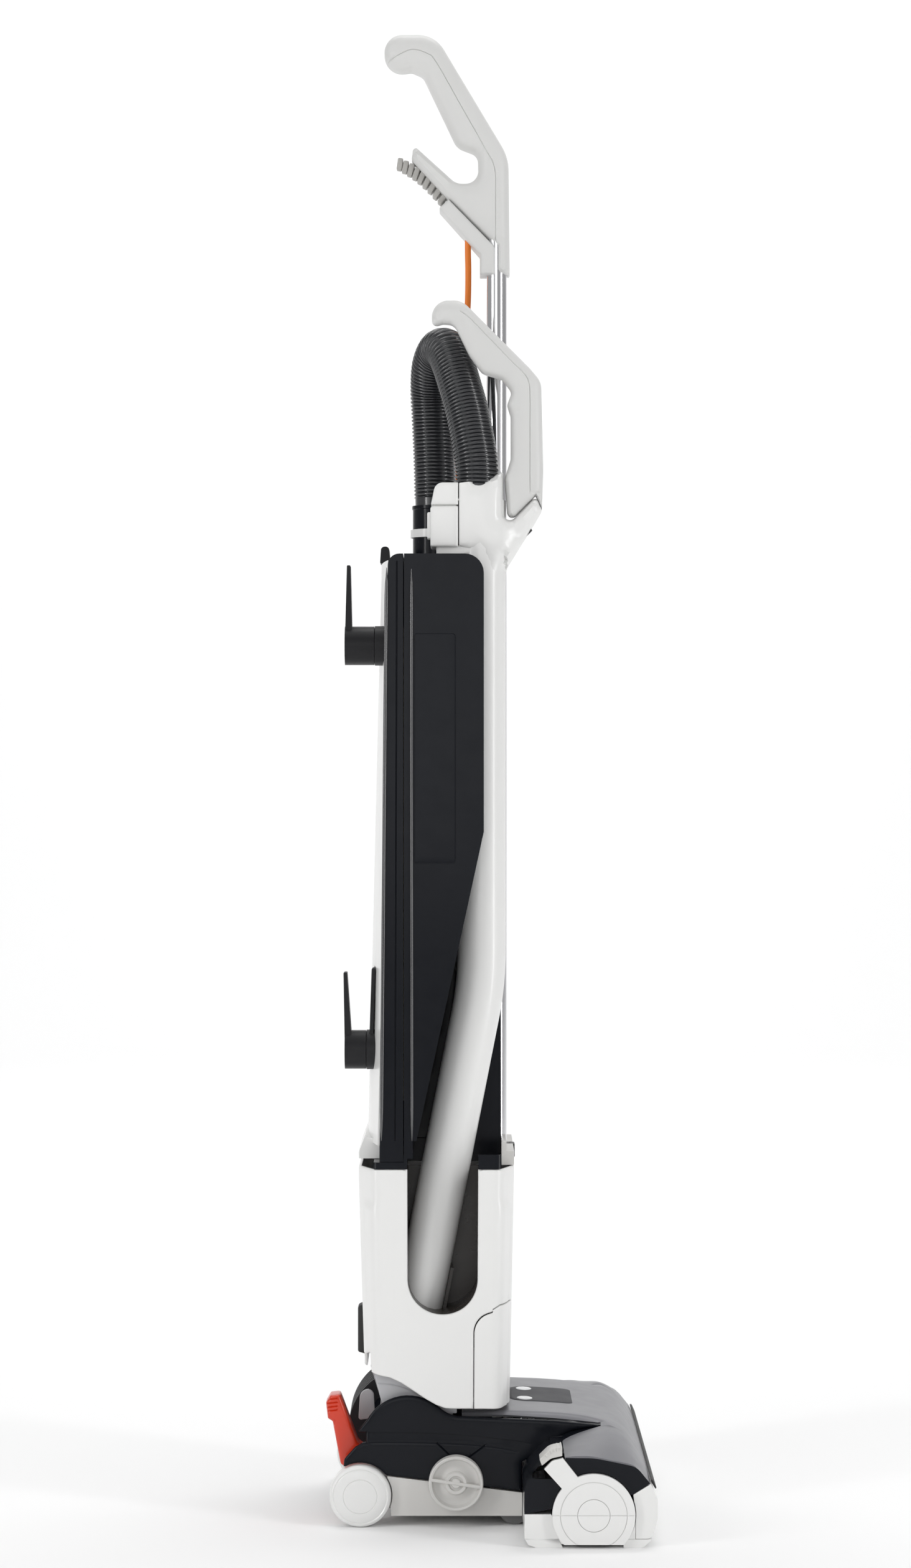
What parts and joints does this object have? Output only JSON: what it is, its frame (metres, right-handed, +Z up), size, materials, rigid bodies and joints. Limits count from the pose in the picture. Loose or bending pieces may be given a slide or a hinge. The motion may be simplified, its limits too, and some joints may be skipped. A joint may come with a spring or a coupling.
{
  "type": "upright vacuum cleaner",
  "caption": "Upright vacuum cleaner: tall reclining body with a bag housing, hose and pull-out suction wand on a wheeled head with a driven brush roller.",
  "frame": {"origin": "on the floor, under the middle of the head", "axes": "+X forwards, towards the brush head; +Y to the machine's left; +Z up"},
  "size_m": [0.2539, 0.36, 1.1776],
  "materials": {
    "white_plastic": "moulded plastic, satin gloss",
    "handle_plastic": "moulded plastic with a soft sheen",
    "light_grey_plastic": "moulded plastic",
    "yoke_grey_plastic": "moulded plastic with a silvery tone",
    "black_gloss_plastic": "high-gloss moulded plastic",
    "black_matte_plastic": "fine-grained moulded plastic",
    "grey_metallic_plastic": "plastic with a metallic grey coat",
    "panel_dark": "dark smoked plastic",
    "lamp_lens": "translucent lens",
    "red_plastic": "red-orange moulded plastic",
    "chrome_tube": "polished chrome-plated steel",
    "steel": "turned steel",
    "wheel_rubber": "soft grey-black rubber",
    "black_rubber": "rubber",
    "hose_plastic": "flexible ribbed plastic",
    "orange_cable": "orange cable sheath",
    "bristle": "nylon bristle",
    "filter_fleece": "pleated fleece",
    "bag_paper": "fleece-lined paper"
  },
  "bodies": {
    "head": {"head_chassis": "light_grey_plastic", "side_cover_right": "black_gloss_plastic", "side_cover_left": "black_gloss_plastic", "top_cover": "grey_metallic_plastic", "indicator_panel": "panel_dark", "indicator_lamps": "lamp_lens", "brush_housing": "black_gloss_plastic", "lower_housing": "white_plastic", "sole_plate": "white_plastic", "front_bumper": "white_plastic", "bumper_strip": "light_grey_plastic", "end_plate_left": "white_plastic", "brush_motor": "steel", "rear_axle_pins": "steel", "pedal_pin": "steel", "neck_catch": "light_grey_plastic", "neck_pins": "steel", "drive_belt": "black_rubber"},
    "rear_wheel_right": {"rear_wheel_right": "white_plastic"},
    "rear_wheel_left": {"rear_wheel_left": "white_plastic"},
    "wheel_carrier": {"front_wheel_carrier": "black_matte_plastic"},
    "front_wheels": {"front_wheels": "wheel_rubber"},
    "height_knob": {"height_knob": "light_grey_plastic"},
    "foot_pedal": {"foot_pedal": "red_plastic"},
    "release_button": {"release_button": "light_grey_plastic"},
    "brush_cartridge": {"end_plate_right": "white_plastic", "brush_bearing": "steel"},
    "brush": {"brush_roller": "black_matte_plastic", "brush_bristles": "bristle"},
    "drive_pulley": {"drive_pulley": "black_matte_plastic"},
    "motor_pinion": {"motor_pinion": "steel"},
    "upright_body": {"neck_yoke": "yoke_grey_plastic", "neck_drum": "black_matte_plastic", "motor_housing": "white_plastic", "exhaust_filter": "filter_fleece", "suction_motor": "steel", "motor_seat": "black_rubber", "wand_channel": "black_matte_plastic", "bag_housing": "black_gloss_plastic", "front_fairing": "light_grey_plastic", "dust_bag": "bag_paper", "hose_cuff": "black_gloss_plastic", "hose_bracket": "white_plastic", "hose": "hose_plastic", "handle_tube": "chrome_tube", "handle_shells": "handle_plastic", "link_cord": "orange_cable"},
    "exhaust_cover": {"exhaust_cover": "white_plastic"},
    "suction_fan": {"motor_rotor": "steel"},
    "power_switch": {"power_switch": "black_matte_plastic"},
    "tube_button": {"tube_button": "black_matte_plastic"},
    "bag_lid": {"bag_lid": "black_gloss_plastic", "lid_panel": "white_plastic", "cord_hook_bases": "black_matte_plastic"},
    "lid_latch": {"lid_latch": "black_matte_plastic"},
    "upper_cord_hook": {"upper_cord_hook": "black_matte_plastic"},
    "lower_cord_hook": {"lower_cord_hook": "black_matte_plastic"},
    "wand": {"wand": "white_plastic", "wand_grip": "handle_plastic"},
    "air_slider": {"air_slider": "black_matte_plastic"}
  },
  "joints": [
    {"name": "body_recline", "type": "hinge", "parent": "head", "child": "upright_body", "pos_m": [-0.062, 0, 0.065], "axis": [0, -1, 0], "range_deg": [0, 80]},
    {"name": "rear_wheel_right_spin", "type": "hinge", "parent": "head", "child": "rear_wheel_right", "pos_m": [-0.099, -0.093, 0.024], "axis": [0, 1, 0], "continuous": true},
    {"name": "rear_wheel_left_spin", "type": "hinge", "parent": "head", "child": "rear_wheel_left", "pos_m": [-0.099, 0.093, 0.024], "axis": [0, 1, 0], "continuous": true},
    {"name": "height_knob_turn", "type": "hinge", "parent": "head", "child": "height_knob", "pos_m": [-0.0246, -0.1, 0.0348], "axis": [0, -1, 0], "range_deg": [0, 180]},
    {"name": "wheel_carrier_tilt", "type": "hinge", "parent": "head", "child": "wheel_carrier", "pos_m": [-0.002, 0, 0.019], "axis": [0, -1, 0], "range_deg": [0, 9]},
    {"name": "front_wheels_spin", "type": "hinge", "parent": "wheel_carrier", "child": "front_wheels", "pos_m": [0.021, 0, 0.0125], "axis": [0, 1, 0], "continuous": true},
    {"name": "foot_pedal_press", "type": "hinge", "parent": "head", "child": "foot_pedal", "pos_m": [-0.092, -0.072, 0.044], "axis": [0, -1, 0], "range_deg": [0, 10], "stiffness_Nm_per_rad": 0.6, "springref_deg": -17.19},
    {"name": "release_button_press", "type": "slide", "parent": "head", "child": "release_button", "axis": [0.42, 0, -0.9075], "range_m": [0, 0.0015], "stiffness_N_per_m": 800, "springref_m": -0.002},
    {"name": "brush_pull_out", "type": "slide", "parent": "head", "child": "brush_cartridge", "axis": [0, -1, 0], "range_m": [0, 0.34]},
    {"name": "brush_spin", "type": "hinge", "parent": "brush_cartridge", "child": "brush", "pos_m": [0.0794, 0, 0.0249], "axis": [0, 1, 0], "continuous": true},
    {"name": "drive_pulley_spin", "type": "hinge", "parent": "head", "child": "drive_pulley", "pos_m": [0.0794, 0.155, 0.0249], "axis": [0, 1, 0], "continuous": true},
    {"name": "motor_pinion_spin", "type": "hinge", "parent": "head", "child": "motor_pinion", "pos_m": [0.04, 0.07, 0.046], "axis": [0, 1, 0], "continuous": true},
    {"name": "exhaust_cover_pull", "type": "slide", "parent": "upright_body", "child": "exhaust_cover", "axis": [1, 0, 0], "range_m": [0, 0.06]},
    {"name": "suction_fan_spin", "type": "hinge", "parent": "upright_body", "child": "suction_fan", "pos_m": [-0.038, 0.032, 0.18], "axis": [0, 0, 1], "continuous": true},
    {"name": "power_switch_rock", "type": "hinge", "parent": "upright_body", "child": "power_switch", "pos_m": [-0.096, 0, 0.14], "axis": [0, -1, 0], "range_deg": [0, 5]},
    {"name": "tube_button_press", "type": "slide", "parent": "upright_body", "child": "tube_button", "axis": [-1, 0, 0], "range_m": [0, 0.002], "stiffness_N_per_m": 500, "springref_m": -0.002},
    {"name": "bag_lid_swing", "type": "hinge", "parent": "upright_body", "child": "bag_lid", "pos_m": [-0.1015, 0, 0.283], "axis": [0, -1, 0], "range_deg": [0, 100]},
    {"name": "lid_latch_lift", "type": "hinge", "parent": "bag_lid", "child": "lid_latch", "pos_m": [-0.0822, 0, 0.7545], "axis": [0, -1, 0], "range_deg": [0, 12], "stiffness_Nm_per_rad": 0.4, "springref_deg": -5.73},
    {"name": "upper_cord_hook_turn", "type": "hinge", "parent": "bag_lid", "child": "upper_cord_hook", "pos_m": [-0.1, -0.058, 0.6858], "axis": [1, 0, 0], "range_deg": [0, 180]},
    {"name": "lower_cord_hook_turn", "type": "hinge", "parent": "bag_lid", "child": "lower_cord_hook", "pos_m": [-0.1, -0.058, 0.368], "axis": [1, 0, 0], "range_deg": [0, 180]},
    {"name": "wand_lift", "type": "slide", "parent": "upright_body", "child": "wand", "axis": [0.1925, 0, 0.9813], "range_m": [0, 0.1], "deforming": ["hose"]},
    {"name": "air_slider_slide", "type": "slide", "parent": "wand", "child": "air_slider", "axis": [0.7071, 0, 0.7071], "range_m": [0, 0.003]}
  ],
  "couplings": [
    {"joint": "wheel_carrier_tilt", "follows": "height_knob_turn", "ratio": 0.05},
    {"joint": "drive_pulley_spin", "follows": "brush_spin", "ratio": 1},
    {"joint": "motor_pinion_spin", "follows": "brush_spin", "ratio": 2.475}
  ]
}
